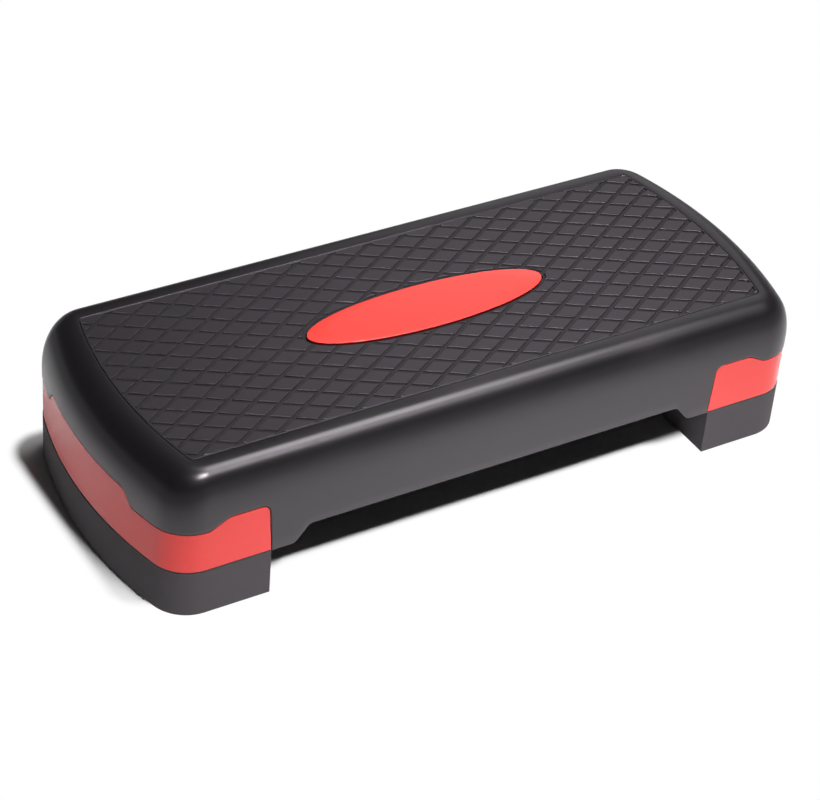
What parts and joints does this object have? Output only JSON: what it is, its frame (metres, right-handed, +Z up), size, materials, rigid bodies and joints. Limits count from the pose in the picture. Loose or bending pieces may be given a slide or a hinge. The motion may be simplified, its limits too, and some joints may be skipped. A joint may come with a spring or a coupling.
{
  "type": "aerobic step platform",
  "caption": "Low exercise step: crowned moulded deck with a diamond tread mat and oval inlay, bright end inserts and lift-off risers that raise it to its upper level.",
  "frame": {"origin": "on the floor under the middle of the platform, at the bottom centre of its bounding box", "axes": "+X along the length, +Z up, front of the picture towards -Y"},
  "size_m": [0.682, 0.2812, 0.1466],
  "materials": {
    "deck_plastic": "satin black, fine moulded grain",
    "tread_rubber": "matte charcoal, fine grain",
    "red_plastic": "satin coral red",
    "riser_plastic": "matte dark grey",
    "pad_rubber": "matte black",
    "screw_steel": "zinc plated"
  },
  "bodies": {
    "platform": {"deck": "deck_plastic", "tread_mat": "tread_rubber", "centre_badge": "red_plastic", "left_end_insert": "red_plastic", "right_end_insert": "red_plastic", "left_insert_screws": "screw_steel", "right_insert_screws": "screw_steel"},
    "left_riser_body": {"left_riser": "riser_plastic", "left_pad_front_inner": "pad_rubber", "left_pad_back_inner": "pad_rubber", "left_pad_front_outer": "pad_rubber", "left_pad_back_outer": "pad_rubber"},
    "right_riser_body": {"right_riser": "riser_plastic", "right_pad_front_inner": "pad_rubber", "right_pad_back_inner": "pad_rubber", "right_pad_front_outer": "pad_rubber", "right_pad_back_outer": "pad_rubber"}
  },
  "joints": [
    {"name": "left_riser_release", "type": "slide", "parent": "platform", "child": "left_riser_body", "axis": [0, 0, -1], "range_m": [0, 0.06]},
    {"name": "right_riser_release", "type": "slide", "parent": "platform", "child": "right_riser_body", "axis": [0, 0, -1], "range_m": [0, 0.06]}
  ]
}
